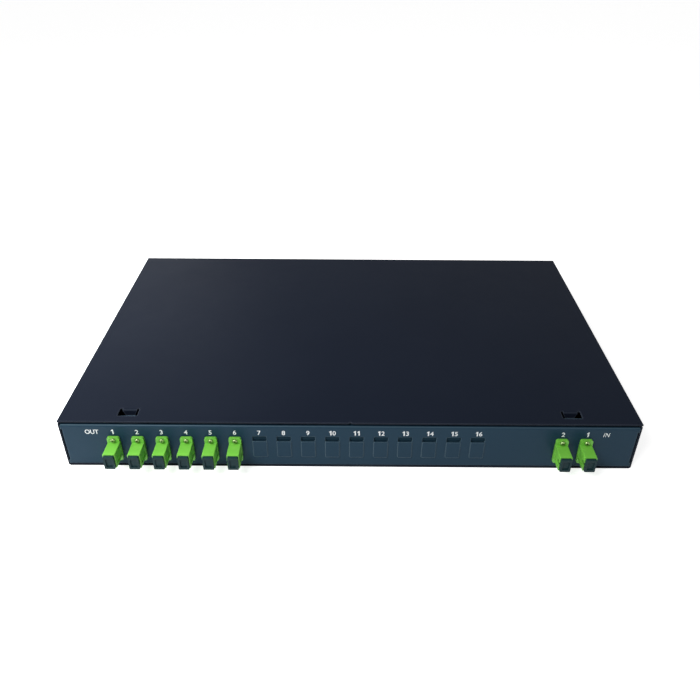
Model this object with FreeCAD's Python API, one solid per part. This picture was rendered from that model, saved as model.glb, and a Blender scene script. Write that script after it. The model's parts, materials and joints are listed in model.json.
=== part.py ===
"""Rack-width fibre splitter: a folded steel case, 18 front ports, eight of them fitted.

Frame: millimetres, +Z up, +X to the right of the front panel, the front faces -Y.
The origin is the centre of the underside of the case.
"""

import FreeCAD, Part
import math
import os

V = FreeCAD.Vector

# ---------------------------------------------------------------- case
CASE_WIDTH = 440.0
CASE_DEPTH = 280.0
CASE_HEIGHT = 44.0
SHEET = 1.2
BEND_INNER = 0.6
BEND_OUTER = BEND_INNER + SHEET
LEDGE_WIDTH = 11.0
COVER_GAP = 2.2
FOLD_CLEARANCE = 0.15
CORNER_RELIEF = 3.0
LEDGE_CLEARANCE = 0.2
REAR_FOLD_LAP = 7.2
END_FOLD_LAP = 5.4

# How far a cutting solid runs past the piece that it cuts.
PAST = 1.0

# ---------------------------------------------------------------- front panel
PANEL_FLANGE = 11.5
PORT_PITCH = 18.5
PORT_END_MARGIN = 40.0
OUT_COUNT = 16
OUT_FITTED = 6
IN_FITTED = 2
PORT_Z = 18.7
CUTOUT_WIDTH = 9.8
CUTOUT_HEIGHT = 13.2
SCREW_PITCH = 17.6

KNOCKOUT_FOOT_Z = 10.4
KNOCKOUT_WIDTH = 10.8
KNOCKOUT_HEIGHT = 15.4
KNOCKOUT_PROUD = 0.6
KNOCKOUT_CORNER = 0.8
PRY_SLOT_HEIGHT = 4.6
PRY_SLOT_CORNER = 0.6
SLOT_STRIP_THICKNESS = 0.8
SLOT_STRIP_LAP = 2.0
SLOT_STRIP_CORNER = 1.0

# ---------------------------------------------------------------- cover
HOOK_INSET = 51.0
HOOK_SETBACK = 6.8
HOOK_WINDOW_WIDTH = 15.0
HOOK_WINDOW_DEPTH = 9.2
HOOK_WINDOW_CORNER = 1.0
HOOK_WIDTH = 11.0
HOOK_TIP_WIDTH = 7.2
HOOK_TIP_SETBACK = 4.0
HOOK_TIP_RADIUS = 0.3
HOOK_RAMP = 0.8
HOOK_CLEARANCE = 0.3
COVER_REAR_FLANGE = 14.0
COVER_SCREW_INSET = 30.0
COVER_SCREW_DROP = 8.0
COVER_NOTCH_RADIUS = 1.1

# ---------------------------------------------------------------- rack ear holes
EAR_HOLE_SETBACK = 24.0
EAR_HOLE_SPACING_Y = 30.0
EAR_HOLE_SPACING_Z = 20.0
EAR_HOLE_MID_Z = 20.0
EAR_HOLE_RADIUS = 2.1

# ---------------------------------------------------------------- simplex adapter
ADAPTER_WIDTH = 9.3
ADAPTER_HEIGHT = 12.7
ADAPTER_FRONT = 16.0
ADAPTER_REAR = 11.6
FLANGE_WIDTH = 9.4
FLANGE_HEIGHT = 22.6
FLANGE_THICKNESS = 2.2
FLANGE_CORNER = 1.6
CAVITY_WIDTH = 7.6
CAVITY_HEIGHT = 9.2
KEY_SLOT_WIDTH = 2.4
KEY_SLOT_LENGTH = 5.2
RELIEF_DEPTH = 0.35
RELIEF_HEIGHT = 7.4
RELIEF_MARGIN = 2.6
EDGE_RADIUS = 0.5

# ---------------------------------------------------------------- sleeve holder
FIT_CLEARANCE = 0.1
BULKHEAD = 1.6
BULKHEAD_CORNER = 0.3
HOLDER_RADIUS = 2.3
SLEEVE_INNER_RADIUS = 1.27
HOLDER_REACH = 6.6
LATCH_THICKNESS = 0.7
LATCH_WIDTH = 3.2
LATCH_REACH = 7.4
LATCH_HOOK = 0.2
LATCH_TIP = 0.8
LATCH_HEEL = 1.4

# ---------------------------------------------------------------- dust cap
CAP_PLATE = 2.2
CAP_WIDTH = 8.0
CAP_HEIGHT = 11.6
CAP_CORNER = 0.7
CAP_RECESS_WIDTH = 4.8
CAP_RECESS_HEIGHT = 7.6
CAP_RECESS_DEPTH = 0.9
CAP_RECESS_CORNER = 0.4
PLUG_CLEARANCE = 0.2
PLUG_HEIGHT = 7.0
PLUG_LENGTH = 7.5
PLUG_WALL = 0.8

# ---------------------------------------------------------------- inner connector
CONNECTOR_NOSE = 7.6
CONNECTOR_WIDTH = 7.4
CONNECTOR_HEIGHT = 9.0
CONNECTOR_LENGTH = 21.0
CONNECTOR_CORNER = 0.6
GRIP_GROOVES = 4
GRIP_GROOVE_PITCH = 3.0
GRIP_GROOVE_WIDTH = 1.0
GRIP_GROOVE_DEPTH = 0.5
GRIP_END = 2.5
GRIP_GAP = 0.3
BORE_RADIUS = 2.6
FERRULE_RADIUS = 1.25 - 0.02
FERRULE_REACH = 7.0
BOOT_LENGTH = 20.0
BOOT_BASE_RADIUS = 2.6
BOOT_TIP_RADIUS = 1.6

# ---------------------------------------------------------------- small fasteners
M2_RADIUS = 1.0
M2_HEAD_RADIUS = 1.9
M2_HEAD_HEIGHT = 1.5
M2_NUT_FLATS = 4.0
NUT_SIDES = 6
M2_NUT_HEIGHT = 1.6
M2_TAIL = 1.0
M3_RADIUS = 1.5
M3_HEAD_RADIUS = 2.9
M3_HEAD_HEIGHT = 1.9
M3_LENGTH = 6.0
HOLE_CLEARANCE = 0.12
HEAD_ROUND = 0.45

# ---------------------------------------------------------------- splitter module
MODULE_LENGTH = 120.0
MODULE_DEPTH = 80.0
MODULE_HEIGHT = 16.0
MODULE_X = 40.0
MODULE_REAR_GAP = 38.2
MODULE_WALL = 2.0
MODULE_CORNER = 4.0
MODULE_BOSS_RADIUS = 4.0
MODULE_BOSS_INSET = 7.0
LID_THICKNESS = 2.0
CHIP_LENGTH = 50.0
CHIP_WIDTH = 7.0
CHIP_HEIGHT = 4.0
CHIP_SEAT = 3.0
CHIP_CORNER = 1.0

# ---------------------------------------------------------------- fibre pigtails
FIBRE_RADIUS = 1.0
FIBRE_SPACING = 4.0
FIBRE_LEVEL = 9.0
FIBRE_STRAIGHT = 14.0
FIBRE_DROP_RUN = 26.0
FIBRE_TURN_SHARE = 0.8
CORD_ARC_SHARE = 0.45

# ---------------------------------------------------------------- places worked out from the sizes
FRONT_Y = -CASE_DEPTH / 2.0
REAR_Y = CASE_DEPTH / 2.0
COVER_UNDERSIDE = CASE_HEIGHT - SHEET
PANEL_TOP = COVER_UNDERSIDE - COVER_GAP
PANEL_BACK = FRONT_Y + SHEET
TRAY_REAR = REAR_Y - SHEET - BEND_INNER
MODULE_Y = TRAY_REAR - MODULE_REAR_GAP - MODULE_DEPTH / 2.0
PANEL_HALF = CASE_WIDTH / 2.0 - SHEET - FOLD_CLEARANCE
MOUTH_Y = FRONT_Y - ADAPTER_FRONT
ADAPTER_BACK = FRONT_Y + ADAPTER_REAR
ADAPTER_MID = (MOUTH_Y + ADAPTER_BACK) / 2.0
END_PORT_X = CASE_WIDTH / 2.0 - PORT_END_MARGIN
HOOK_X = CASE_WIDTH / 2.0 - HOOK_INSET
COVER_SCREW_X = CASE_WIDTH / 2.0 - COVER_SCREW_INSET


def out_port_x(number):
    """OUT 1 is at the left end, and the numbers rise to the right."""
    return PORT_PITCH * (number - 1) - END_PORT_X


def in_port_x(number):
    """IN 1 is at the right end, with IN 2 beside it."""
    return END_PORT_X - PORT_PITCH * (number - 1)


FITTED = {"out_%d" % n: out_port_x(n) for n in range(1, OUT_FITTED + 1)}
FITTED.update({"in_%d" % n: in_port_x(n) for n in range(1, IN_FITTED + 1)})


# ---------------------------------------------------------------- drawing helpers
def rounded_wire(points, radii):
    """A closed wire through the points, with each corner rounded by its own radius."""
    count = len(points)
    starts = []
    ends = []
    middles = []
    for i in range(count):
        here = points[i]
        back = (points[i - 1] - here).normalize()
        ahead = (points[(i + 1) % count] - here).normalize()
        radius = radii[i]
        if radius <= 0.0:
            starts.append(here)
            ends.append(here)
            middles.append(None)
            continue
        half_angle = back.getAngle(ahead) / 2.0
        reach = radius / math.tan(half_angle)
        towards = (back + ahead).normalize()
        centre = here + towards * (radius / math.sin(half_angle))
        starts.append(here + back * reach)
        ends.append(here + ahead * reach)
        middles.append(centre - towards * radius)
    edges = []
    for i in range(count):
        if middles[i] is not None:
            edges.append(Part.Arc(starts[i], middles[i], ends[i]).toShape())
        after = starts[(i + 1) % count]
        if ends[i].distanceToPoint(after) > 1e-6:
            edges.append(Part.LineSegment(ends[i], after).toShape())
    return Part.Wire(edges)


def prism(points, radii, along):
    """The solid swept by a rounded outline along a straight vector."""
    return Part.Face(rounded_wire(points, radii)).extrude(along)


def box(x0, x1, y0, y1, z0, z1):
    return Part.makeBox(x1 - x0, y1 - y0, z1 - z0, V(x0, y0, z0))


def plate_xz(x, z, width, height, corner, y0, y1):
    """A rounded rectangle in the front plane, centred on (x, z), from y0 back to y1."""
    w = width / 2.0
    h = height / 2.0
    corners = [V(x - w, y0, z - h), V(x + w, y0, z - h), V(x + w, y0, z + h), V(x - w, y0, z + h)]
    return prism(corners, [corner] * 4, V(0, y1 - y0, 0))


def plate_xy(x, y, width, depth, corner, z0, z1):
    """A rounded rectangle lying flat, centred on (x, y), from z0 up to z1."""
    w = width / 2.0
    d = depth / 2.0
    corners = [V(x - w, y - d, z0), V(x + w, y - d, z0), V(x + w, y + d, z0), V(x - w, y + d, z0)]
    return prism(corners, [corner] * 4, V(0, 0, z1 - z0))


def rod_x(y, z, radius, x0, x1):
    return Part.makeCylinder(radius, x1 - x0, V(x0, y, z), V(1, 0, 0))


def rod_y(x, z, radius, y0, y1):
    return Part.makeCylinder(radius, y1 - y0, V(x, y0, z), V(0, 1, 0))


def rod_z(x, y, radius, z0, z1):
    return Part.makeCylinder(radius, z1 - z0, V(x, y, z0), V(0, 0, 1))


def fuse_all(shapes):
    return shapes[0].multiFuse(shapes[1:]).removeSplitter()


# ---------------------------------------------------------------- the folded case
def base_tray():
    """Floor, two sides with a ledge folded inwards, and a rear wall, from one sheet."""
    half = CASE_WIDTH / 2.0
    top = COVER_UNDERSIDE
    outline = [
        V(-half + LEDGE_WIDTH, FRONT_Y, top),
        V(-half, FRONT_Y, top),
        V(-half, FRONT_Y, 0),
        V(half, FRONT_Y, 0),
        V(half, FRONT_Y, top),
        V(half - LEDGE_WIDTH, FRONT_Y, top),
        V(half - LEDGE_WIDTH, FRONT_Y, top - SHEET),
        V(half - SHEET, FRONT_Y, top - SHEET),
        V(half - SHEET, FRONT_Y, SHEET),
        V(-half + SHEET, FRONT_Y, SHEET),
        V(-half + SHEET, FRONT_Y, top - SHEET),
        V(-half + LEDGE_WIDTH, FRONT_Y, top - SHEET),
    ]
    radii = [0] + [BEND_OUTER] * 4 + [0, 0] + [BEND_INNER] * 4 + [0]
    trough = prism(outline, radii, V(0, TRAY_REAR - FRONT_Y, 0))

    # The ledges stop short of the front, where the cover hooks over the panel.
    relief = PANEL_FLANGE + CORNER_RELIEF
    for side in (-1, 1):
        x0, x1 = sorted((side * (half - SHEET - LEDGE_WIDTH), side * (half - SHEET)))
        low = PANEL_TOP + LEDGE_CLEARANCE
        trough = trough.cut(box(x0, x1, FRONT_Y - PAST, FRONT_Y + relief, low, top + PAST))

    # The rear wall is folded up between the sides.
    wall_half = PANEL_HALF - BEND_INNER
    notch = box(-wall_half, wall_half, TRAY_REAR - BEND_OUTER, TRAY_REAR + PAST, -PAST, BEND_OUTER)
    wall_top = top - SHEET - FOLD_CLEARANCE
    fold = [
        V(-wall_half, TRAY_REAR - REAR_FOLD_LAP, 0),
        V(-wall_half, TRAY_REAR, 0),
        V(-wall_half, TRAY_REAR, wall_top),
        V(-wall_half, TRAY_REAR - SHEET, wall_top),
        V(-wall_half, TRAY_REAR - SHEET, SHEET),
        V(-wall_half, TRAY_REAR - REAR_FOLD_LAP, SHEET),
    ]
    rear_wall = prism(fold, [0, BEND_OUTER, 0, 0, BEND_INNER, 0], V(2 * wall_half, 0, 0))
    tray = fuse_all([trough.cut(notch), rear_wall])

    holes = []
    for side in (-1, 1):
        for y in (FRONT_Y + EAR_HOLE_SETBACK, FRONT_Y + EAR_HOLE_SETBACK + EAR_HOLE_SPACING_Y):
            for dz in (-EAR_HOLE_SPACING_Z / 2.0, EAR_HOLE_SPACING_Z / 2.0):
                start = V(side * (half + PAST), y, EAR_HOLE_MID_Z + dz)
                holes.append(Part.makeCylinder(EAR_HOLE_RADIUS, SHEET + 2 * PAST, start, V(-side, 0, 0)))
    for x, z in cover_screw_places():
        holes.append(rod_y(x, z, M3_RADIUS + HOLE_CLEARANCE, TRAY_REAR - SHEET - PAST, TRAY_REAR + PAST))
    for x, y in module_screw_places():
        holes.append(rod_z(x, y, M3_RADIUS + HOLE_CLEARANCE, -PAST, SHEET + PAST))
    return tray.cut(Part.makeCompound(holes))


def front_panel():
    """A channel with folded ends; unused ports are half-sheared blanks with a pry slot."""
    back = FRONT_Y + PANEL_FLANGE
    outline = [
        V(-PANEL_HALF, back, SHEET),
        V(-PANEL_HALF, FRONT_Y, SHEET),
        V(-PANEL_HALF, FRONT_Y, PANEL_TOP),
        V(-PANEL_HALF, back, PANEL_TOP),
        V(-PANEL_HALF, back, PANEL_TOP - SHEET),
        V(-PANEL_HALF, PANEL_BACK, PANEL_TOP - SHEET),
        V(-PANEL_HALF, PANEL_BACK, 2 * SHEET),
        V(-PANEL_HALF, back, 2 * SHEET),
    ]
    radii = [0, BEND_OUTER, BEND_OUTER, 0, 0, BEND_INNER, BEND_INNER, 0]
    channel = prism(outline, radii, V(2 * PANEL_HALF, 0, 0))

    low = 2 * SHEET + CORNER_RELIEF
    high = PANEL_TOP - SHEET - CORNER_RELIEF
    for side in (-1, 1):
        edge = side * PANEL_HALF
        inner = side * (PANEL_HALF - SHEET)
        joint = side * (PANEL_HALF - END_FOLD_LAP)
        corner = side * (PANEL_HALF - BEND_OUTER)
        x0, x1 = sorted((corner, edge + side * PAST))
        channel = channel.cut(box(x0, x1, FRONT_Y - PAST, PANEL_BACK + BEND_OUTER, low, high))
        fold = [
            V(joint, FRONT_Y, low),
            V(edge, FRONT_Y, low),
            V(edge, back, low),
            V(inner, back, low),
            V(inner, PANEL_BACK, low),
            V(joint, PANEL_BACK, low),
        ]
        end = prism(fold, [0, BEND_OUTER, 0, 0, BEND_INNER, 0], V(0, 0, high - low))
        channel = fuse_all([channel, end])

    # The lower flange stands clear of the tray's bends.
    cuts = []
    for side in (-1, 1):
        x0, x1 = sorted((side * (PANEL_HALF - BEND_INNER), side * (PANEL_HALF + PAST)))
        cuts.append(box(x0, x1, FRONT_Y - PAST, back + PAST, 0, SHEET + BEND_INNER))
    for x in FITTED.values():
        cutout = (x, PORT_Z, CUTOUT_WIDTH, CUTOUT_HEIGHT, EDGE_RADIUS)
        cuts.append(plate_xz(*cutout, FRONT_Y - PAST, PANEL_BACK + PAST))
    for x, z in adapter_screw_places():
        cuts.append(rod_y(x, z, M2_RADIUS + HOLE_CLEARANCE, FRONT_Y - PAST, PANEL_BACK + PAST))
    blanks = []
    z = KNOCKOUT_FOOT_Z + KNOCKOUT_HEIGHT / 2.0
    slot_z = KNOCKOUT_FOOT_Z + KNOCKOUT_HEIGHT + PRY_SLOT_HEIGHT / 2.0
    y0 = FRONT_Y - KNOCKOUT_PROUD
    y1 = PANEL_BACK - KNOCKOUT_PROUD
    for number in range(OUT_FITTED + 1, OUT_COUNT + 1):
        x = out_port_x(number)
        blank = (x, z, KNOCKOUT_WIDTH, KNOCKOUT_HEIGHT, KNOCKOUT_CORNER)
        slot = (x, slot_z, KNOCKOUT_WIDTH, PRY_SLOT_HEIGHT, PRY_SLOT_CORNER)
        cuts.append(plate_xz(*blank, y1, PANEL_BACK + PAST))
        cuts.append(plate_xz(*slot, y0 - PAST, PANEL_BACK + PAST))
        blanks.append(plate_xz(*blank, y0, y1))
    return fuse_all([channel.cut(Part.makeCompound(cuts))] + blanks)


def slot_strip():
    """A sheet strip, spot-welded behind the front panel, that closes the pry slots against dust."""
    first = out_port_x(OUT_FITTED + 1)
    last = out_port_x(OUT_COUNT)
    z = KNOCKOUT_FOOT_Z + KNOCKOUT_HEIGHT + PRY_SLOT_HEIGHT / 2.0
    width = last - first + KNOCKOUT_WIDTH + 2 * SLOT_STRIP_LAP
    height = PRY_SLOT_HEIGHT + 2 * SLOT_STRIP_LAP
    strip = ((first + last) / 2.0, z, width, height, SLOT_STRIP_CORNER)
    return plate_xz(*strip, PANEL_BACK, PANEL_BACK + SLOT_STRIP_THICKNESS)


def cover_hook(x):
    """A tapered tongue lanced out of the cover: steeply down, then forward under the panel flange."""
    root = FRONT_Y + HOOK_SETBACK + HOOK_WINDOW_DEPTH
    tip = FRONT_Y + HOOK_TIP_SETBACK
    low = PANEL_TOP - SHEET - HOOK_CLEARANCE
    half_turn = math.tan(math.atan2(CASE_HEIGHT - low, HOOK_RAMP) / 2.0)
    crest = root - BEND_OUTER * half_turn
    foot = crest - HOOK_RAMP
    under = SHEET * half_turn
    x0 = x - HOOK_WIDTH / 2.0
    outline = [
        V(x0, root + SHEET, COVER_UNDERSIDE),
        V(x0, root + SHEET, CASE_HEIGHT),
        V(x0, crest, CASE_HEIGHT),
        V(x0, foot, low),
        V(x0, tip, low),
        V(x0, tip, low - SHEET),
        V(x0, foot + under, low - SHEET),
        V(x0, crest + under, COVER_UNDERSIDE),
    ]
    radii = [0, 0, BEND_OUTER, BEND_INNER, HOOK_TIP_RADIUS, HOOK_TIP_RADIUS, BEND_OUTER, BEND_INNER]
    tongue = prism(outline, radii, V(HOOK_WIDTH, 0, 0))

    wide = HOOK_WIDTH / 2.0
    narrow = HOOK_TIP_WIDTH / 2.0
    y0 = tip - PAST
    front_view = [
        V(x - wide, y0, CASE_HEIGHT + PAST),
        V(x - wide, y0, COVER_UNDERSIDE),
        V(x - narrow, y0, low),
        V(x - narrow, y0, low - SHEET - PAST),
        V(x + narrow, y0, low - SHEET - PAST),
        V(x + narrow, y0, low),
        V(x + wide, y0, COVER_UNDERSIDE),
        V(x + wide, y0, CASE_HEIGHT + PAST),
    ]
    return tongue.common(prism(front_view, [0] * len(front_view), V(0, root + SHEET + PAST - y0, 0)))


def top_cover():
    """A flat sheet with a rear flange, two lanced hooks at the front and a centring notch."""
    half = CASE_WIDTH / 2.0
    outline = [
        V(-half, FRONT_Y, COVER_UNDERSIDE),
        V(-half, FRONT_Y, CASE_HEIGHT),
        V(-half, REAR_Y, CASE_HEIGHT),
        V(-half, REAR_Y, CASE_HEIGHT - COVER_REAR_FLANGE),
        V(-half, REAR_Y - SHEET, CASE_HEIGHT - COVER_REAR_FLANGE),
        V(-half, REAR_Y - SHEET, COVER_UNDERSIDE),
    ]
    sheet = prism(outline, [0, 0, BEND_OUTER, 0, 0, BEND_INNER], V(CASE_WIDTH, 0, 0))
    cuts = [rod_z(0, FRONT_Y, COVER_NOTCH_RADIUS, COVER_UNDERSIDE - PAST, CASE_HEIGHT + PAST)]
    window_y = FRONT_Y + HOOK_SETBACK + HOOK_WINDOW_DEPTH / 2.0
    for x in (-HOOK_X, HOOK_X):
        size = (HOOK_WINDOW_WIDTH, HOOK_WINDOW_DEPTH, HOOK_WINDOW_CORNER)
        cuts.append(plate_xy(x, window_y, *size, COVER_UNDERSIDE - PAST, CASE_HEIGHT + PAST))
    for x, z in cover_screw_places():
        cuts.append(rod_y(x, z, M3_RADIUS + 2 * HOLE_CLEARANCE, REAR_Y - SHEET - PAST, REAR_Y + PAST))
    sheet = sheet.cut(Part.makeCompound(cuts))
    return fuse_all([sheet] + [cover_hook(x) for x in (-HOOK_X, HOOK_X)])


# ---------------------------------------------------------------- adapters and what they hold
def adapter(x):
    """The moulded shell of one simplex adapter: flange, shouldered body, keyed plug cavity."""
    flange_front = FRONT_Y - FLANGE_THICKNESS
    flange = plate_xz(x, PORT_Z, FLANGE_WIDTH, FLANGE_HEIGHT, FLANGE_CORNER, flange_front, FRONT_Y)
    body = plate_xz(x, PORT_Z, ADAPTER_WIDTH, ADAPTER_HEIGHT, EDGE_RADIUS, MOUTH_Y, ADAPTER_BACK)
    shell = fuse_all([body, flange])

    cavity_x = (x - CAVITY_WIDTH / 2.0, x + CAVITY_WIDTH / 2.0)
    cavity_z = (PORT_Z - CAVITY_HEIGHT / 2.0, PORT_Z + CAVITY_HEIGHT / 2.0)
    cuts = [box(*cavity_x, MOUTH_Y - PAST, ADAPTER_BACK + PAST, *cavity_z)]
    key_x = (x - ADAPTER_WIDTH, x)
    key_z = (PORT_Z - KEY_SLOT_WIDTH / 2.0, PORT_Z + KEY_SLOT_WIDTH / 2.0)
    cuts.append(box(*key_x, MOUTH_Y - PAST, MOUTH_Y + KEY_SLOT_LENGTH, *key_z))
    cuts.append(box(*key_x, ADAPTER_BACK - KEY_SLOT_LENGTH, ADAPTER_BACK + PAST, *key_z))
    relief_y = (MOUTH_Y + RELIEF_MARGIN, flange_front)
    relief_z = (PORT_Z - RELIEF_HEIGHT / 2.0, PORT_Z + RELIEF_HEIGHT / 2.0)
    for side in (-1, 1):
        relief_x = sorted((x + side * (ADAPTER_WIDTH / 2.0 - RELIEF_DEPTH), x + side * ADAPTER_WIDTH))
        cuts.append(box(*relief_x, *relief_y, *relief_z))
    for dz in (-SCREW_PITCH / 2.0, SCREW_PITCH / 2.0):
        cuts.append(rod_y(x, PORT_Z + dz, M2_RADIUS + HOLE_CLEARANCE, flange_front - PAST, FRONT_Y + PAST))
    return shell.cut(Part.makeCompound(cuts))


def sleeve_holder(x):
    """Bulkhead, guide tube and latch arms, with the ceramic alignment sleeve fixed in its bore."""
    width = CAVITY_WIDTH - 2 * FIT_CLEARANCE
    height = CAVITY_HEIGHT - 2 * FIT_CLEARANCE
    y0 = ADAPTER_MID - BULKHEAD / 2.0
    y1 = ADAPTER_MID + BULKHEAD / 2.0
    wall = plate_xz(x, PORT_Z, width, height, BULKHEAD_CORNER, y0, y1)
    tube = rod_y(x, PORT_Z, HOLDER_RADIUS, y0 - HOLDER_REACH, y1 + HOLDER_REACH)
    pieces = [wall, tube]
    reach = BULKHEAD / 2.0 + LATCH_REACH
    x0 = x - LATCH_WIDTH / 2.0
    for up in (-1, 1):
        outer = PORT_Z + up * height / 2.0
        inner = outer - up * LATCH_THICKNESS
        tip = inner - up * LATCH_HOOK
        arm = [
            V(x0, ADAPTER_MID - reach, outer),
            V(x0, ADAPTER_MID + reach, outer),
            V(x0, ADAPTER_MID + reach, inner),
            V(x0, ADAPTER_MID + reach - LATCH_TIP, tip),
            V(x0, ADAPTER_MID + reach - LATCH_HEEL, inner),
            V(x0, ADAPTER_MID - reach + LATCH_HEEL, inner),
            V(x0, ADAPTER_MID - reach + LATCH_TIP, tip),
            V(x0, ADAPTER_MID - reach, inner),
        ]
        pieces.append(prism(arm, [0] * len(arm), V(LATCH_WIDTH, 0, 0)))
    holder = fuse_all(pieces)
    bore_y = (y0 - HOLDER_REACH - PAST, y1 + HOLDER_REACH + PAST)
    return holder.cut(rod_y(x, PORT_Z, SLEEVE_INNER_RADIUS, *bore_y))


def dust_cap(x):
    """A face plate over the adapter's mouth, with a hollow plug that fits over the guide tube."""
    y0 = MOUTH_Y - CAP_PLATE
    plate = plate_xz(x, PORT_Z, CAP_WIDTH, CAP_HEIGHT, CAP_CORNER, y0, MOUTH_Y)
    half_width = CAVITY_WIDTH / 2.0 - PLUG_CLEARANCE
    half_height = PLUG_HEIGHT / 2.0
    plug = box(
        x - half_width, x + half_width,
        MOUTH_Y, MOUTH_Y + PLUG_LENGTH,
        PORT_Z - half_height, PORT_Z + half_height,
    )
    cap = fuse_all([plate, plug])
    hollow = box(
        x - half_width + PLUG_WALL, x + half_width - PLUG_WALL,
        MOUTH_Y, MOUTH_Y + PLUG_LENGTH + PAST,
        PORT_Z - half_height + PLUG_WALL, PORT_Z + half_height - PLUG_WALL,
    )
    size = (CAP_RECESS_WIDTH, CAP_RECESS_HEIGHT, CAP_RECESS_CORNER)
    recess = plate_xz(x, PORT_Z, *size, y0 - PAST, y0 + CAP_RECESS_DEPTH)
    return cap.cut(Part.makeCompound([hollow, recess]))


def pigtail_connector(x):
    """The plug on the inner side of an adapter: nose, ferrule, ribbed grip and strain-relief boot."""
    half_width = CAVITY_WIDTH / 2.0 - PLUG_CLEARANCE
    half_height = PLUG_HEIGHT / 2.0
    nose_tip = ADAPTER_BACK - CONNECTOR_NOSE
    nose = box(
        x - half_width, x + half_width,
        nose_tip, ADAPTER_BACK + PAST,
        PORT_Z - half_height, PORT_Z + half_height,
    )
    grip_y0 = ADAPTER_BACK + GRIP_GAP
    grip_y1 = grip_y0 + CONNECTOR_LENGTH
    grip = plate_xz(x, PORT_Z, CONNECTOR_WIDTH, CONNECTOR_HEIGHT, CONNECTOR_CORNER, grip_y0, grip_y1)
    grooves = []
    groove_z = (PORT_Z - CONNECTOR_HEIGHT, PORT_Z + CONNECTOR_HEIGHT)
    for i in range(GRIP_GROOVES):
        y = grip_y1 - GRIP_END - GRIP_GROOVE_PITCH * i
        for side in (-1, 1):
            floor_x = x + side * (CONNECTOR_WIDTH / 2.0 - GRIP_GROOVE_DEPTH)
            x0, x1 = sorted((floor_x, x + side * CONNECTOR_WIDTH))
            grooves.append(box(x0, x1, y - GRIP_GROOVE_WIDTH, y, *groove_z))
    boot = Part.makeCone(BOOT_BASE_RADIUS, BOOT_TIP_RADIUS, BOOT_LENGTH, V(x, grip_y1, PORT_Z), V(0, 1, 0))
    bore = rod_y(x, PORT_Z, BORE_RADIUS, nose_tip - PAST, ADAPTER_BACK)
    ferrule = rod_y(x, PORT_Z, FERRULE_RADIUS, nose_tip - FERRULE_REACH + CONNECTOR_NOSE / 2.0, ADAPTER_BACK)
    body = fuse_all([nose, grip.cut(Part.makeCompound(grooves)), boot]).cut(bore)
    return fuse_all([body, ferrule])


def adapter_screw_places():
    """Above and below each fitted adapter, as (x, z)."""
    return [(x, PORT_Z + dz) for x in FITTED.values() for dz in (-SCREW_PITCH / 2.0, SCREW_PITCH / 2.0)]


def pan_screw(seat, direction, head_radius, head_height, shank_radius, shank_length):
    """A pan-head screw whose head stands on its seat and whose shank runs along the direction."""
    crown = seat - direction * head_height
    head = Part.makeCylinder(head_radius, head_height, crown, direction)
    rim = [edge for edge in head.Edges if edge.CenterOfMass.isEqual(crown, 1e-4)]
    head = head.makeChamfer(HEAD_ROUND, rim)
    shank = Part.makeCylinder(shank_radius, shank_length, seat, direction)
    return head.fuse(shank).removeSplitter()


def adapter_screws():
    """Two pan-head screws per adapter, all alike."""
    seat_y = FRONT_Y - FLANGE_THICKNESS
    length = PANEL_BACK + M2_NUT_HEIGHT + M2_TAIL - seat_y
    sizes = (M2_HEAD_RADIUS, M2_HEAD_HEIGHT, M2_RADIUS, length)
    screws = [pan_screw(V(x, seat_y, z), V(0, 1, 0), *sizes) for x, z in adapter_screw_places()]
    return Part.makeCompound(screws)


def adapter_nuts():
    """The hexagon nuts behind the panel."""
    nuts = []
    turn = 2.0 * math.pi / NUT_SIDES
    corner = M2_NUT_FLATS / 2.0 / math.cos(turn / 2.0)
    for x, z in adapter_screw_places():
        points = []
        for i in range(NUT_SIDES):
            points.append(V(x + corner * math.cos(turn * i), PANEL_BACK, z + corner * math.sin(turn * i)))
        nut = prism(points, [0] * NUT_SIDES, V(0, M2_NUT_HEIGHT, 0))
        bore_radius = M2_RADIUS + HOLE_CLEARANCE / 2.0
        nuts.append(nut.cut(rod_y(x, z, bore_radius, PANEL_BACK - PAST, PANEL_BACK + M2_NUT_HEIGHT + PAST)))
    return Part.makeCompound(nuts)


# ---------------------------------------------------------------- the splitter module
def module_screw_places():
    dx = MODULE_LENGTH / 2.0 - MODULE_BOSS_INSET
    dy = MODULE_DEPTH / 2.0 - MODULE_BOSS_INSET
    return [(MODULE_X + sx * dx, MODULE_Y + sy * dy) for sx in (-1, 1) for sy in (-1, 1)]


def out_fibre_y(index):
    """Where the output fibre with this index meets the module's left wall."""
    return MODULE_Y + FIBRE_SPACING * (index - (OUT_FITTED - 1) / 2.0)


def in_fibre_y(index):
    return MODULE_Y + FIBRE_SPACING * (index - (IN_FITTED - 1) / 2.0)


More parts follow.
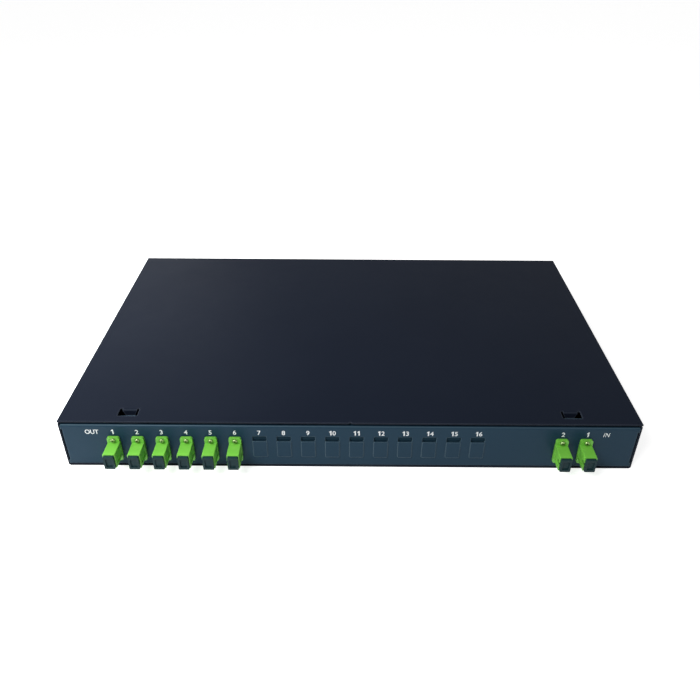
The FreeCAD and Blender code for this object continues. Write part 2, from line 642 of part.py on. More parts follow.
def module_case():
    """The open box that carries the splitter chip, with a screw boss in each corner."""
    z0 = SHEET
    z1 = SHEET + MODULE_HEIGHT - LID_THICKNESS
    room_length = MODULE_LENGTH - 2 * MODULE_WALL
    room_depth = MODULE_DEPTH - 2 * MODULE_WALL
    room_corner = MODULE_CORNER - MODULE_WALL
    shell = plate_xy(MODULE_X, MODULE_Y, MODULE_LENGTH, MODULE_DEPTH, MODULE_CORNER, z0, z1)
    room = plate_xy(MODULE_X, MODULE_Y, room_length, room_depth, room_corner, z0 + MODULE_WALL, z1 + PAST)
    bosses = [rod_z(x, y, MODULE_BOSS_RADIUS, z0, z1) for x, y in module_screw_places()]
    seat = box(
        MODULE_X - CHIP_LENGTH / 2.0, MODULE_X + CHIP_LENGTH / 2.0,
        MODULE_Y - CHIP_WIDTH / 2.0, MODULE_Y + CHIP_WIDTH / 2.0,
        z0, z0 + MODULE_WALL + CHIP_SEAT,
    )
    case = fuse_all([shell.cut(room), seat] + bosses)
    cuts = [rod_z(x, y, M3_RADIUS + HOLE_CLEARANCE, z0 - PAST, z1 + PAST) for x, y in module_screw_places()]
    left = MODULE_X - MODULE_LENGTH / 2.0
    right = MODULE_X + MODULE_LENGTH / 2.0
    gland = FIBRE_RADIUS + HOLE_CLEARANCE
    for i in range(OUT_FITTED):
        cuts.append(rod_x(out_fibre_y(i), FIBRE_LEVEL, gland, left - MODULE_WALL, left + 2 * MODULE_WALL))
    for i in range(IN_FITTED):
        cuts.append(rod_x(in_fibre_y(i), FIBRE_LEVEL, gland, right - 2 * MODULE_WALL, right + MODULE_WALL))
    return case.cut(Part.makeCompound(cuts))


def module_lid():
    z0 = SHEET + MODULE_HEIGHT - LID_THICKNESS
    z1 = z0 + LID_THICKNESS
    lid = plate_xy(MODULE_X, MODULE_Y, MODULE_LENGTH, MODULE_DEPTH, MODULE_CORNER, z0, z1)
    radius = M3_RADIUS + HOLE_CLEARANCE
    holes = [rod_z(x, y, radius, z0 - PAST, z1 + PAST) for x, y in module_screw_places()]
    return lid.cut(Part.makeCompound(holes))


def splitter_chip():
    """The planar waveguide chip in its metal sleeve, on the seat in the module."""
    z0 = SHEET + MODULE_WALL + CHIP_SEAT
    return plate_xy(MODULE_X, MODULE_Y, CHIP_LENGTH, CHIP_WIDTH, CHIP_CORNER, z0, z0 + CHIP_HEIGHT)


def module_screws():
    """Four screws through the lid and the case, into the floor of the tray."""
    top = SHEET + MODULE_HEIGHT
    sizes = (M3_HEAD_RADIUS, M3_HEAD_HEIGHT, M3_RADIUS, top - SHEET / 2.0)
    screws = [pan_screw(V(x, y, top), V(0, 0, -1), *sizes) for x, y in module_screw_places()]
    return Part.makeCompound(screws)


def cover_screw_places():
    """Left, middle and right of the rear flange, as (x, z)."""
    z = COVER_UNDERSIDE - COVER_SCREW_DROP
    return [(x, z) for x in (-COVER_SCREW_X, 0.0, COVER_SCREW_X)]


def cover_screws():
    """Three screws through the cover's rear flange, into the rear wall of the tray."""
    sizes = (M3_HEAD_RADIUS, M3_HEAD_HEIGHT, M3_RADIUS, M3_LENGTH)
    screws = [pan_screw(V(x, REAR_Y, z), V(0, -1, 0), *sizes) for x, z in cover_screw_places()]
    return Part.makeCompound(screws)


# ---------------------------------------------------------------- fibres
def cord(points, radius):
    """A round cord along straight runs joined by tangent arcs."""
    edges = []
    cursor = points[0]
    smallest = None
    for i in range(1, len(points) - 1):
        here = points[i]
        back = points[i - 1] - here
        ahead = points[i + 1] - here
        shorter = min(back.Length, ahead.Length)
        back = back.normalize()
        ahead = ahead.normalize()
        turn = math.pi - back.getAngle(ahead)
        reach = CORD_ARC_SHARE * shorter
        bend = reach / math.tan(turn / 2.0)
        smallest = bend if smallest is None else min(smallest, bend)
        start = here + back * reach
        end = here + ahead * reach
        towards = (back + ahead).normalize()
        centre = here + towards * (bend / math.cos(turn / 2.0))
        edges.append(Part.LineSegment(cursor, start).toShape())
        edges.append(Part.Arc(start, centre - towards * bend, end).toShape())
        cursor = end
    edges.append(Part.LineSegment(cursor, points[-1]).toShape())
    path = Part.Wire(edges)
    direction = (points[1] - points[0]).normalize()
    section = Part.Wire([Part.makeCircle(radius, points[0], direction)])
    tube = path.makePipeShell([section], True, False)
    print("cord: length %.0f mm, smallest radius %.1f mm" % (path.Length, smallest))
    return tube


def pigtail(x, side, wall_x, entry_y):
    """One fibre from the tip of a boot, down to the floor and round into the module."""
    start_y = ADAPTER_BACK + GRIP_GAP + CONNECTOR_LENGTH + BOOT_LENGTH
    low_y = start_y + FIBRE_STRAIGHT + FIBRE_DROP_RUN
    turn = FIBRE_TURN_SHARE * min(abs(wall_x - x), entry_y - low_y)
    near = turn * (1 - math.cos(math.pi / 6.0))
    points = [
        V(x, start_y, PORT_Z),
        V(x, start_y + FIBRE_STRAIGHT, PORT_Z),
        V(x, low_y, FIBRE_LEVEL),
        V(x, entry_y - turn, FIBRE_LEVEL),
        V(x + side * near, entry_y - turn / 2.0, FIBRE_LEVEL),
        V(x + side * turn / 2.0, entry_y - near, FIBRE_LEVEL),
        V(x + side * turn, entry_y, FIBRE_LEVEL),
        V(wall_x, entry_y, FIBRE_LEVEL),
    ]
    return cord(points, FIBRE_RADIUS)


def out_pigtails():
    wall = MODULE_X - MODULE_LENGTH / 2.0 + MODULE_WALL
    fibres = [pigtail(out_port_x(n), 1, wall, out_fibre_y(OUT_FITTED - n)) for n in range(1, OUT_FITTED + 1)]
    return Part.makeCompound(fibres)


def in_pigtails():
    wall = MODULE_X + MODULE_LENGTH / 2.0 - MODULE_WALL
    fibres = [pigtail(in_port_x(n), -1, wall, in_fibre_y(IN_FITTED - n)) for n in range(1, IN_FITTED + 1)]
    return Part.makeCompound(fibres)


# ---------------------------------------------------------------- write the pieces
def pieces():
    made = {
        "base_tray": base_tray(),
        "front_panel": front_panel(),
        "slot_strip": slot_strip(),
        "top_cover": top_cover(),
        "cover_screws": cover_screws(),
        "adapter_screws": adapter_screws(),
        "adapter_nuts": adapter_nuts(),
        "module_case": module_case(),
        "module_lid": module_lid(),
        "module_screws": module_screws(),
        "splitter_chip": splitter_chip(),
        "out_pigtails": out_pigtails(),
        "in_pigtails": in_pigtails(),
    }
    for port, x in FITTED.items():
        made["adapter_" + port] = adapter(x)
        made["sleeve_holder_" + port] = sleeve_holder(x)
        made["dust_cap_" + port] = dust_cap(x)
        made["connector_" + port] = pigtail_connector(x)
    return made


os.makedirs("parts", exist_ok=True)
for name, shape in pieces().items():
    shape.exportStep("parts/%s.step" % name)
    print("%-24s solids %d  valid %s  volume %.1f" % (name, len(shape.Solids), shape.isValid(), shape.Volume))
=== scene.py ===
"""Looks of the rack-width fibre splitter: coatings, mouldings, printed numbers and small fasteners.

Metres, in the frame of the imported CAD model: +Z up, the front panel faces -Y.
"""

import bmesh
import bpy
import json
import math
from collections import namedtuple
from mathutils import Matrix, Vector


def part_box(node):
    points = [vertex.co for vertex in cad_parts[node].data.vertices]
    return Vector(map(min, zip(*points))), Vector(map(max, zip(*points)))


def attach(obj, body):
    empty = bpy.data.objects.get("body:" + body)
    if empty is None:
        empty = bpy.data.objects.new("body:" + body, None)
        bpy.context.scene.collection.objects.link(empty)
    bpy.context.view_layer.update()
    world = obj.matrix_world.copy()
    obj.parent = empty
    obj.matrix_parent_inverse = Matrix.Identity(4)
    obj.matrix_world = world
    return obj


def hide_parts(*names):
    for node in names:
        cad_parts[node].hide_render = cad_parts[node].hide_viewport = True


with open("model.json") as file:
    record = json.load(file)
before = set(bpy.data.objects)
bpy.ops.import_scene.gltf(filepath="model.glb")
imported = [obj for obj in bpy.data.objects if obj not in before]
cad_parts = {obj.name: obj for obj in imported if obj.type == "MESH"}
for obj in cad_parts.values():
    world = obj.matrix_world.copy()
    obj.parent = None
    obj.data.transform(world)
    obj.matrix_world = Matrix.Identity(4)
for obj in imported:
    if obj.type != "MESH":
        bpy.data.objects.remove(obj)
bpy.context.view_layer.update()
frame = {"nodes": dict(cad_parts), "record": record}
nodes = frame["nodes"]

MM = 0.001

# ---------------------------------------------------------------- places read from the frame
OUT_FITTED = 6
OUT_COUNT = 16
IN_COUNT = 2
OUT_PORTS = ["out_%d" % number for number in range(1, OUT_FITTED + 1)]
IN_PORTS = ["in_%d" % number for number in range(1, IN_COUNT + 1)]
tray_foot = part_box("base_tray")[0]
FACE_Y = tray_foot.y


def port_centre(port):
    """The middle of the adapter that is fitted in a port."""
    low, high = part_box("adapter_" + port)
    return (low + high) / 2.0


PORT_PITCH = port_centre("out_2").x - port_centre("out_1").x


# ---------------------------------------------------------------- small node helpers
def new_material(name):
    """A material, its node tree and its Principled shader."""
    material = bpy.data.materials.new(name)
    material.use_nodes = True
    tree = material.node_tree
    shader = tree.nodes["Principled BSDF"]
    return material, tree, shader


def position(tree):
    """Object coordinates: every piece keeps its origin at the frame's, so these are metres."""
    return tree.nodes.new("ShaderNodeTexCoord").outputs["Object"]


def noise(tree, scale, detail=2.0, roughness=0.5):
    """Noise of about this many grains to a metre."""
    node = tree.nodes.new("ShaderNodeTexNoise")
    node.inputs["Scale"].default_value = scale
    node.inputs["Detail"].default_value = detail
    node.inputs["Roughness"].default_value = roughness
    tree.links.new(position(tree), node.inputs["Vector"])
    return node.outputs["Fac"]


def spread(tree, value, low, high, start=0.3, end=0.7):
    """Maps a value from start..end, by default where most noise lies, to low..high."""
    node = tree.nodes.new("ShaderNodeMapRange")
    node.inputs["From Min"].default_value = start
    node.inputs["From Max"].default_value = end
    node.inputs["To Min"].default_value = low
    node.inputs["To Max"].default_value = high
    tree.links.new(value, node.inputs["Value"])
    return node.outputs["Result"]


def between(tree, factor, colour_a, colour_b):
    """The first colour where the factor is 0, and the second where it is 1."""
    node = tree.nodes.new("ShaderNodeMix")
    node.data_type = "RGBA"
    node.inputs[6].default_value = (*colour_a, 1.0)
    node.inputs[7].default_value = (*colour_b, 1.0)
    tree.links.new(factor, node.inputs["Factor"])
    return node.outputs[2]


def rounded(tree, radius):
    """The normal of the surface with its edges rounded by this radius."""
    node = tree.nodes.new("ShaderNodeBevel")
    node.samples = 6
    node.inputs["Radius"].default_value = radius
    return node.outputs["Normal"]


def edge_mask(tree, radius):
    """0 on flat faces, rising to 1 along edges sharper than the radius."""
    flat = tree.nodes.new("ShaderNodeNewGeometry").outputs["True Normal"]
    dot = tree.nodes.new("ShaderNodeVectorMath")
    dot.operation = "DOT_PRODUCT"
    tree.links.new(rounded(tree, radius), dot.inputs[0])
    tree.links.new(flat, dot.inputs[1])
    return spread(tree, dot.outputs["Value"], 1.0, 0.0, start=0.8, end=0.97)


def larger(tree, a, b):
    """The larger of two values."""
    node = tree.nodes.new("ShaderNodeMath")
    node.operation = "MAXIMUM"
    tree.links.new(a, node.inputs[0])
    tree.links.new(b, node.inputs[1])
    return node.outputs[0]


def bend_mask(tree):
    """0 on faces that lie square to the frame, rising to BEND_HIGHLIGHT_SHARE half-way round a bend."""
    size = tree.nodes.new("ShaderNodeVectorMath")
    size.operation = "ABSOLUTE"
    tree.links.new(tree.nodes.new("ShaderNodeTexCoord").outputs["Normal"], size.inputs[0])
    parts = tree.nodes.new("ShaderNodeSeparateXYZ")
    tree.links.new(size.outputs["Vector"], parts.inputs["Vector"])
    steepest = larger(tree, larger(tree, parts.outputs["X"], parts.outputs["Y"]), parts.outputs["Z"])
    return spread(tree, steepest, BEND_HIGHLIGHT_SHARE, 0.0, start=0.76, end=0.97)


def bump(tree, shader, height, strength, distance, edge):
    """Gives the shader a relief this deep at full strength, and edges rounded by this radius."""
    node = tree.nodes.new("ShaderNodeBump")
    node.inputs["Strength"].default_value = strength
    node.inputs["Distance"].default_value = distance
    tree.links.new(height, node.inputs["Height"])
    tree.links.new(rounded(tree, edge), node.inputs["Normal"])
    tree.links.new(node.outputs["Normal"], shader.inputs["Normal"])


# ---------------------------------------------------------------- materials
# How far a folded bend turns to its coat's painted edge highlight, where a sharp edge turns fully.
BEND_HIGHLIGHT_SHARE = 0.4
# Grains to a metre, for changes of tone, of gloss and of height.
COAT_TONE = 14.0
COAT_GLOSS = 60.0
COAT_PEEL = 1400.0
PLASTIC_TONE = 180.0
PLASTIC_GLOSS = 900.0
METAL_TONE = 700.0
METAL_GLOSS = 2500.0
METAL_MARKS = 5000.0
INK_TONE = 2200.0
INK_GRAIN = 3000.0
# Depths of the relief.
PEEL_DEPTH = 0.12 * MM
MARKS_DEPTH = 0.02 * MM
INK_DEPTH = 0.03 * MM
# Radii that round the edges in the shading.
COAT_EDGE = 0.5 * MM
PLASTIC_EDGE = 0.2 * MM
METAL_EDGE = 0.1 * MM
INK_EDGE = 0.05 * MM
# How far light of each colour travels inside the plastic, and the length that they share.
GLOW_REACH = (0.4, 1.0, 0.3)
GLOW_SCALE = 1.5 * MM
# Where the ink is thin, the share of its colour that is left.
FADED = 0.8


def powder_coat(name, colour, lighter, edge_highlight_colour, roughness, gloss, tint, edge):
    """Satin powder coat: fine orange peel, slow changes of tone, and a painted highlight that makes it
    paler on its edges and bends.
    """
    material, tree, shader = new_material(name)
    slow = spread(tree, noise(tree, COAT_TONE, detail=3.0), 0.0, 1.0, start=0.35, end=0.65)
    field = between(tree, slow, colour, lighter)
    # Painted highlight: along sharp edges and folded bends the coat turns to its paler edge colour.
    painted_edge_highlight = tree.nodes.new("ShaderNodeMix")
    painted_edge_highlight.data_type = "RGBA"
    painted_edge_highlight.inputs[7].default_value = (*edge_highlight_colour, 1.0)
    tree.links.new(larger(tree, edge_mask(tree, edge), bend_mask(tree)), painted_edge_highlight.inputs["Factor"])
    tree.links.new(field, painted_edge_highlight.inputs[6])
    tree.links.new(painted_edge_highlight.outputs[2], shader.inputs["Base Color"])
    clouds = noise(tree, COAT_GLOSS, detail=4.0, roughness=0.6)
    uneven = spread(tree, clouds, roughness - 0.015, roughness + 0.02)
    tree.links.new(uneven, shader.inputs["Roughness"])
    shader.inputs["Specular IOR Level"].default_value = gloss
    shader.inputs["Specular Tint"].default_value = (*tint, 1.0)
    peel = noise(tree, COAT_PEEL, roughness=0.6)
    bump(tree, shader, peel, strength=0.25, distance=PEEL_DEPTH, edge=COAT_EDGE)
    return material


def moulded(name, colour, darker, roughness, grains, depth, gloss=0.5, subsurface=0.0):
    """Injection-moulded plastic: a fine spark-eroded grain and faint flow marks."""
    material, tree, shader = new_material(name)
    flow = spread(tree, noise(tree, PLASTIC_TONE, detail=3.0), 0.0, 1.0)
    tree.links.new(between(tree, flow, colour, darker), shader.inputs["Base Color"])
    uneven = spread(tree, noise(tree, PLASTIC_GLOSS), roughness - 0.05, roughness + 0.06)
    tree.links.new(uneven, shader.inputs["Roughness"])
    shader.inputs["Specular IOR Level"].default_value = gloss
    shader.inputs["Subsurface Weight"].default_value = subsurface
    shader.inputs["Subsurface Radius"].default_value = GLOW_REACH
    shader.inputs["Subsurface Scale"].default_value = GLOW_SCALE
    bump(tree, shader, noise(tree, grains), strength=0.3, distance=depth, edge=PLASTIC_EDGE)
    return material


def metal(name, colour, darker, roughness):
    """Plated steel: slightly uneven plating with fine tool marks."""
    material, tree, shader = new_material(name)
    stain = spread(tree, noise(tree, METAL_TONE, detail=4.0), 0.0, 1.0)
    tree.links.new(between(tree, stain, colour, darker), shader.inputs["Base Color"])
    gloss = spread(tree, noise(tree, METAL_GLOSS), roughness - 0.08, roughness + 0.1)
    tree.links.new(gloss, shader.inputs["Roughness"])
    shader.inputs["Metallic"].default_value = 1.0
    marks = noise(tree, METAL_MARKS)
    bump(tree, shader, marks, strength=0.2, distance=MARKS_DEPTH, edge=METAL_EDGE)
    return material


def ink(name, colour):
    """Screen-printed ink: matt, a little thin in places."""
    material, tree, shader = new_material(name)
    thin = spread(tree, noise(tree, INK_TONE, detail=3.0), 0.0, 1.0, start=0.45, end=0.8)
    faded = tuple(c * FADED for c in colour)
    tree.links.new(between(tree, thin, colour, faded), shader.inputs["Base Color"])
    shader.inputs["Roughness"].default_value = 0.55
    grain = noise(tree, INK_GRAIN)
    bump(tree, shader, grain, strength=0.2, distance=INK_DEPTH, edge=INK_EDGE)
    return material


# Each coat's edge colour is a painted highlight along its edges and bends; edge is the radius over
# which the highlight spreads.
COATS = {
    # One paint covers the case and the front panel; the case coat is painted darker and bluer, as
    # painted shade on the case.
    "case_coat": dict(
        colour=(0.0065, 0.0093, 0.0178),
        lighter=(0.0073, 0.0103, 0.0192),
        edge_highlight_colour=(0.035, 0.043, 0.058),
        roughness=0.46,
        gloss=0.022,
        tint=(0.70, 0.95, 1.0),
        edge=1.6 * MM,
    ),
    "panel_coat": dict(
        colour=(0.0082, 0.0276, 0.0506),
        lighter=(0.0092, 0.0292, 0.0527),
        edge_highlight_colour=(0.075, 0.120, 0.150),
        roughness=0.34,
        gloss=0.17,
        tint=(0.60, 0.87, 1.0),
        edge=1.0 * MM,
    ),
    # A little darker than the panel coat: painted shade on the strip in the recess behind the pry
    # slots.
    "strip_coat": dict(
        colour=(0.0085, 0.0250, 0.0400),
        lighter=(0.0095, 0.0270, 0.0430),
        edge_highlight_colour=(0.040, 0.065, 0.085),
        roughness=0.5,
        gloss=0.08,
        tint=(0.60, 0.87, 1.0),
        edge=0.5 * MM,
    ),
}
PLASTICS = {
    "adapter_green": dict(
        colour=(0.166, 0.505, 0.054),
        darker=(0.146, 0.465, 0.047),
        roughness=0.34,
        grains=2600.0,
        depth=0.03 * MM,
        gloss=0.5,
        subsurface=0.02,
    ),
    "cap_black": dict(
        colour=(0.0065, 0.0270, 0.0310),
        darker=(0.0052, 0.0225, 0.0265),
        roughness=0.5,
        grains=3200.0,
        depth=0.05 * MM,
        gloss=0.15,
    ),
    "holder_white": dict(
        colour=(0.78, 0.77, 0.7),
        darker=(0.72, 0.71, 0.64),
        roughness=0.45,
        grains=2600.0,
        depth=0.03 * MM,
    ),
    "connector_green": dict(
        colour=(0.06, 0.36, 0.05),
        darker=(0.05, 0.31, 0.04),
        roughness=0.4,
        grains=2600.0,
        depth=0.03 * MM,
    ),
    "module_shell": dict(
        colour=(0.02, 0.021, 0.023),
        darker=(0.016, 0.017, 0.019),
        roughness=0.5,
        grains=1500.0,
        depth=0.08 * MM,
    ),
    "fibre_jacket": dict(
        colour=(0.78, 0.56, 0.03),
        darker=(0.7, 0.5, 0.025),
        roughness=0.4,
        grains=1800.0,
        depth=0.03 * MM,
    ),
}
METALS = {
    # Olive plating, made greener than the plating is: a painted reflection of the green adapters around
    # the heads.
    "bright_screw": dict(
        colour=(0.30, 0.42, 0.17),
        darker=(0.21, 0.30, 0.12),
        roughness=0.28,
    ),
    "black_screw": dict(
        colour=(0.05, 0.05, 0.055),
        darker=(0.03, 0.03, 0.035),
        roughness=0.4,
    ),
    "chip_metal": dict(
        colour=(0.62, 0.62, 0.64),
        darker=(0.52, 0.52, 0.54),
        roughness=0.3,
    ),
}

MATERIALS = {}
for make, looks in ((powder_coat, COATS), (moulded, PLASTICS), (metal, METALS)):
    for name, look in looks.items():
        MATERIALS[name] = make(name, **look)
WHITE_INK = ink("white_ink", (0.80, 0.84, 0.85))

# Each solid of the part gets the material of its slot.
for part in frame["record"]["subparts"]:
    mesh = nodes[part["node"]].data
    mesh.materials.clear()
    mesh.materials.append(MATERIALS[part["material_slot"]])


# ---------------------------------------------------------------- making an object
def object_of(name, mesh):
    """A new object in the scene that holds a bmesh, which is freed."""
    data = bpy.data.meshes.new(name)
    mesh.to_mesh(data)
    mesh.free()
    made = bpy.data.objects.new(name, data)
    bpy.context.scene.collection.objects.link(made)
    return made


# ---------------------------------------------------------------- printed numbers and words
INK_THICKNESS = 0.02 * MM
LABEL_HEIGHT = 4.2 * MM
# From a port's middle up to its label's middle.
LABEL_RISE = 15.3 * MM
LABEL_Z = port_centre("out_1").z + LABEL_RISE
# How far an outline is widened on every side.
BOLD = 0.08 * MM
LIGHTLY_BOLD = 0.05 * MM
# From the nearest port's middle across to the word's middle.
OUT_REACH = 15.6 * MM
IN_REACH = 14.2 * MM
# The step from figure to figure, as a share of a label's height.
FIGURE_PITCH = 0.72
# A capital's height in the built-in font, as a share of the font's size.
CAPITAL_SHARE = 0.73


def lettering(text, height, tracking=1.0):
    """The outlines of a word or a figure, in the built-in plain font."""
    curve = bpy.data.curves.new("lettering", "FONT")
    curve.body = text
    curve.size = height / CAPITAL_SHARE
    curve.space_character = tracking
    curve.resolution_u = 6
    return curve


def figure_one(height):
    """The outline of a 1 with its flag; the built-in font draws it as a bare stem."""
    stem = [(0.0, 0.0), (0.2, 0.0), (0.2, 1.0)]
    flag = [(0.07, 1.0), (-0.2, 0.8), (-0.2, 0.63), (0.0, 0.74)]
    shares = stem + flag
    curve = bpy.data.curves.new("figure_one", "CURVE")
    curve.dimensions = "2D"
    curve.fill_mode = "BOTH"
    outline = curve.splines.new("POLY")
    outline.points.add(len(shares) - 1)
    for point, (x, y) in zip(outline.points, shares):
        point.co = (x * height, y * height, 0.0, 1.0)
    outline.use_cyclic_u = True
    return curve


def inked(curve, bold):
    """A mesh of the outlines, widened by bold, its foot on y = 0 and its middle at x = 0."""
    curve.offset = bold
    curve.extrude = INK_THICKNESS
    draft = bpy.data.objects.new("draft", curve)
    bpy.context.scene.collection.objects.link(draft)
    bpy.context.view_layer.update()
    mesh = bpy.data.meshes.new_from_object(draft)
    bpy.data.objects.remove(draft)
    across = [vertex.co.x for vertex in mesh.vertices]
    foot = min(vertex.co.y for vertex in mesh.vertices)
    mesh.transform(Matrix.Translation((-(min(across) + max(across)) / 2.0, -foot, 0.0)))
    return mesh


def printed(name, pieces, x, width=0.95, slant=0.0):
    """Ink meshes side by side on the front panel, narrowed and slanted, their middle at x."""
    group = bmesh.new()
    for i, mesh in enumerate(pieces):
        along = (i - (len(pieces) - 1) / 2.0) * FIGURE_PITCH * LABEL_HEIGHT
        mesh.transform(Matrix.Translation((along, 0.0, 0.0)))
        group.from_mesh(mesh)
        bpy.data.meshes.remove(mesh)
    shape = Matrix.Diagonal((width, 1.0, 1.0, 1.0))
    shape[0][1] = slant
    upright = Matrix.Rotation(math.radians(90), 4, "X")
    place = Matrix.Translation((x, FACE_Y - INK_THICKNESS, LABEL_Z - LABEL_HEIGHT / 2.0))
    group.transform(place @ upright @ shape)
    label = object_of(name, group)
    label.data.materials.append(WHITE_INK)
    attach(label, "case")


def figures(number):
    """One ink mesh for each figure of the number."""
    made = []
    for figure in str(number):
        curve = figure_one(LABEL_HEIGHT) if figure == "1" else lettering(figure, LABEL_HEIGHT)
        made.append(inked(curve, BOLD))
    return made


for number in range(1, OUT_COUNT + 1):
    place = port_centre("out_1").x + PORT_PITCH * (number - 1)
    printed("number_out_%d" % number, figures(number), place)
for number, port in enumerate(IN_PORTS, start=1):
    printed("number_in_%d" % number, figures(number), port_centre(port).x, slant=0.05)
word_out = inked(lettering("OUT", LABEL_HEIGHT), BOLD)
printed("word_out", [word_out], port_centre("out_1").x - OUT_REACH, width=0.86)
word_in = inked(lettering("IN", LABEL_HEIGHT, tracking=1.12), LIGHTLY_BOLD)
printed("word_in", [word_in], port_centre("in_1").x + IN_REACH, width=0.8, slant=0.12)


# ---------------------------------------------------------------- cross-head screws
SPIN_STEPS = 32
DOME_STEPS = 10
# Corners closer than this are one.
WELD = 1e-7
# The tip's width and where it starts, as shares of the shank's radius and length.
TIP_WIDTH = 0.8
TIP_START = 0.94
# The exponent that fills out the dome.
DOME_FULLNESS = 0.55
# Shares of a head's height: its rim, and the bars that cut the cross.
RIM_SHARE = 0.35
CROSS_HALF_TALL = 0.62
CROSS_TOP = 1.4
# Shares of a head's radius: how far the bars reach, and half their width.
CROSS_REACH = 0.62
CROSS_HALF_WIDTH = 0.13
# The bars' reach at their foot, as a share of that at their top.
CROSS_FOOT = 0.45
# Degrees that the first screw's cross is turned, and each next one further.
FIRST_TURN = 23
NEXT_TURN = 67
SHARP_ANGLE = math.radians(35)


def screw_blank(radius, height, shank_radius, shank_length):
    """A turned pan-head screw along -Z, its head's seat at the origin."""
    dome = []
    for i in range(DOME_STEPS + 1):
        angle = math.radians(90) * i / DOME_STEPS
        across = radius * math.cos(angle) ** DOME_FULLNESS if i < DOME_STEPS else 0.0
        dome.append((across, height * (RIM_SHARE + (1.0 - RIM_SHARE) * math.sin(angle))))
    tip = [(0.0, -shank_length), (shank_radius * TIP_WIDTH, -shank_length)]
    shank = [(shank_radius, -shank_length * TIP_START), (shank_radius, 0.0)]
    profile = tip + shank + [(radius, 0.0)] + dome
    mesh = bmesh.new()
    verts = [mesh.verts.new((x, 0.0, z)) for x, z in profile]
    edges = [mesh.edges.new((a, b)) for a, b in zip(verts, verts[1:])]
    bmesh.ops.spin(
        mesh,
        geom=verts + edges,
        cent=(0, 0, 0),
        axis=(0, 0, 1),
        angle=math.radians(360),
        steps=SPIN_STEPS,
    )
    bmesh.ops.remove_doubles(mesh, verts=mesh.verts, dist=WELD)
    bmesh.ops.recalc_face_normals(mesh, faces=mesh.faces)
    return object_of("screw_blank", mesh)


def cross_cutter(radius, height):
    """Two crossed bars above the head, narrower at their foot."""
    mesh = bmesh.new()
    wing = radius * CROSS_REACH
    thick = radius * CROSS_HALF_WIDTH
    half_tall = height * CROSS_HALF_TALL
    for turn in (0, 90):
        bar = bmesh.ops.create_cube(mesh, size=1.0)["verts"]
        turned = Matrix.Rotation(math.radians(turn), 4, "Z")
        for vert in bar:
            narrow = 1.0 if vert.co.z > 0 else CROSS_FOOT
            x = vert.co.x * 2 * wing * narrow
            y = vert.co.y * 2 * thick
            z = (vert.co.z - 0.5) * half_tall * 2 + height * CROSS_TOP
            vert.co = turned @ Vector((x, y, z))
    return object_of("cross", mesh)


def pan_screw(radius, height, shank_radius, shank_length):
    """The mesh of a pan-head screw with a cross recess in its head."""
    blank = screw_blank(radius, height, shank_radius, shank_length)
    cutter = cross_cutter(radius, height)
    cut = blank.modifiers.new("cross", "BOOLEAN")
    cut.object = cutter
    cut.operation = "DIFFERENCE"
    cut.solver = "EXACT"
    cut.use_self = True
    bpy.context.view_layer.update()
    evaluated = blank.evaluated_get(bpy.context.evaluated_depsgraph_get())
    result = bpy.data.meshes.new_from_object(evaluated)
    bpy.data.objects.remove(blank)
    bpy.data.objects.remove(cutter)
    return result


def screws(name, node, blank, places, facing, finish):
    """One piece that replaces a CAD node: a copy of the screw at each place, heads facing one way."""
    group = bmesh.new()
    turn = Vector((0, 0, 1)).rotation_difference(Vector(facing)).to_matrix().to_4x4()
    for i, place in enumerate(places):
        spin = Matrix.Rotation(math.radians(FIRST_TURN + NEXT_TURN * i), 4, "Z")
        copy = blank.copy()
        copy.transform(Matrix.Translation(place) @ turn @ spin)
        group.from_mesh(copy)
        bpy.data.meshes.remove(copy)
    piece = object_of(name, group)
    piece.data.materials.clear()
    piece.data.materials.append(MATERIALS[finish])
    piece.data.shade_smooth()
    piece.data.set_sharp_from_angle(angle=SHARP_ANGLE)
    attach(piece, "case")
    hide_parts(node)


Screw = namedtuple("Screw", "radius height shank_radius shank_length")
M2 = Screw(radius=1.9 * MM, height=1.5 * MM, shank_radius=1.0 * MM, shank_length=7.0 * MM)
M3 = Screw(radius=2.9 * MM, height=1.9 * MM, shank_radius=1.5 * MM, shank_length=6.0 * MM)

# An adapter's two screws lie this far above and below its middle.
M2_OFFSET = 8.8 * MM
m2_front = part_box("adapter_screws")[0].y
M2_SEAT_Y = m2_front + M2.height
adapter_places = []
for port in OUT_PORTS + IN_PORTS:
    centre = port_centre(port)
    for side in (-1, 1):
        adapter_places.append(Vector((centre.x, M2_SEAT_Y, centre.z + side * M2_OFFSET)))
m2_screw = pan_screw(*M2)
screws("adapter_screw_heads", "adapter_screws", m2_screw, adapter_places, (0, -1, 0), "bright_screw")

m3_low, m3_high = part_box("cover_screws")
M3_Z = (m3_low.z + m3_high.z) / 2.0
M3_SEAT_Y = m3_high.y - M3.height
outer_x = m3_high.x - M3.radius
rear_places = [Vector((x, M3_SEAT_Y, M3_Z)) for x in (-outer_x, 0.0, outer_x)]
m3_screw = pan_screw(*M3)
screws("cover_screw_heads", "cover_screws", m3_screw, rear_places, (0, 1, 0), "black_screw")


# ---------------------------------------------------------------- floor, light and camera
def to_eye(tree):
    """1 for rays from the camera, and for those that come by way of gloss or glass."""
    paths = tree.nodes.new("ShaderNodeLightPath")
    seen = larger(tree, paths.outputs["Is Camera Ray"], paths.outputs["Is Glossy Ray"])
    return larger(tree, seen, paths.outputs["Is Transmission Ray"])


def pale_floor(name, colour, glow):
    """A pale floor that takes a shadow, and looks white where nothing shades it."""
    material, tree, shader = new_material(name)
    shader.inputs["Base Color"].default_value = (*colour, 1.0)
    shader.inputs["Roughness"].default_value = 0.9
    shader.inputs["Specular IOR Level"].default_value = 0.1
    shader.inputs["Emission Color"].default_value = (1.0, 1.0, 1.0, 1.0)
    seen = spread(tree, to_eye(tree), 0.0, glow, start=0.0, end=1.0)
    tree.links.new(seen, shader.inputs["Emission Strength"])
    return material


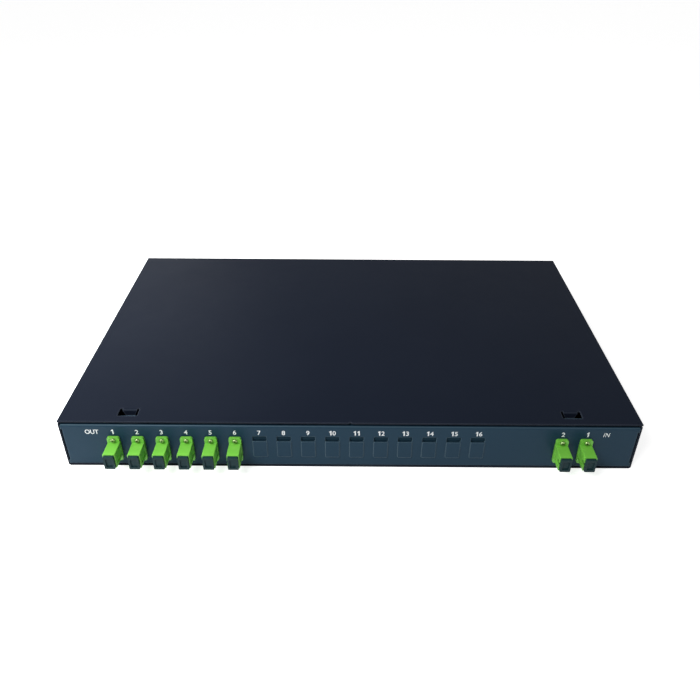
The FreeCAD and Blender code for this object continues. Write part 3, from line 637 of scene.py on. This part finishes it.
FLOOR_HALF = 40.0
FLOOR_GAP = 0.2 * MM
FLOOR_GLOW = 0.78
floor_corners = [(-1, -1), (1, -1), (1, 1), (-1, 1)]
floor_mesh = bpy.data.meshes.new("floor")
floor_verts = [(x * FLOOR_HALF, y * FLOOR_HALF, 0) for x, y in floor_corners]
floor_mesh.from_pydata(floor_verts, [], [(0, 1, 2, 3)])
floor = bpy.data.objects.new("floor", floor_mesh)
floor.location.z = tray_foot.z - FLOOR_GAP
bpy.context.scene.collection.objects.link(floor)
floor_mesh.materials.append(pale_floor("floor_white", (0.8, 0.8, 0.8), FLOOR_GLOW))

# The sky's strength where it lights the part, and where the camera sees it.
SKY_LIGHT = 0.22
SKY_SEEN = 1.0
world = bpy.data.worlds.new("studio")
bpy.context.scene.world = world
world.use_nodes = True
sky = world.node_tree.nodes["Background"]
sky.inputs["Color"].default_value = (1, 1, 1, 1)
seen_sky = to_eye(world.node_tree)
strength = spread(world.node_tree, seen_sky, SKY_LIGHT, SKY_SEEN, start=0.0, end=1.0)
world.node_tree.links.new(strength, sky.inputs["Strength"])


def softbox(name, place, target, width, height, power):
    """A rectangular lamp of this size in metres and power in watts, facing its target."""
    light = bpy.data.lights.new(name, "AREA")
    light.shape = "RECTANGLE"
    light.size = width
    light.size_y = height
    light.energy = power
    lamp = bpy.data.objects.new(name, light)
    lamp.location = place
    lamp.rotation_euler = (Vector(target) - Vector(place)).to_track_quat("-Z", "Y").to_euler()
    bpy.context.scene.collection.objects.link(lamp)


softbox("key", place=(-0.45, -0.61, 0.79), target=(-0.05, -0.05, 0), width=0.55, height=0.25, power=8.7)
softbox("side", place=(-0.52, -0.02, 0.30), target=(-0.15, 0.0, 0), width=0.3, height=0.3, power=3.2)
softbox("back", place=(-0.45, 0.70, 0.36), target=(-0.15, 0.1, 0), width=0.4, height=0.4, power=1.3)

CAMERA_PLACE = (-0.0011, -0.5396, 0.3732)
PITCH = math.radians(33.41)
ROLL = math.radians(0.42)
YAW = math.radians(0.08)
camera_data = bpy.data.cameras.new("camera")
camera_data.sensor_width = 36.0
camera_data.lens = 35.35
camera_data.clip_start = 0.01
camera = bpy.data.objects.new("camera", camera_data)
heading = Matrix.Rotation(-YAW, 4, "Z")
tilt = Matrix.Rotation(math.radians(90) - PITCH, 4, "X")
aim = heading @ tilt @ Matrix.Rotation(ROLL, 4, "Z")
camera.matrix_world = Matrix.Translation(CAMERA_PLACE) @ aim
bpy.context.scene.collection.objects.link(camera)
bpy.context.scene.camera = camera
bpy.context.scene.view_settings.view_transform = "Standard"
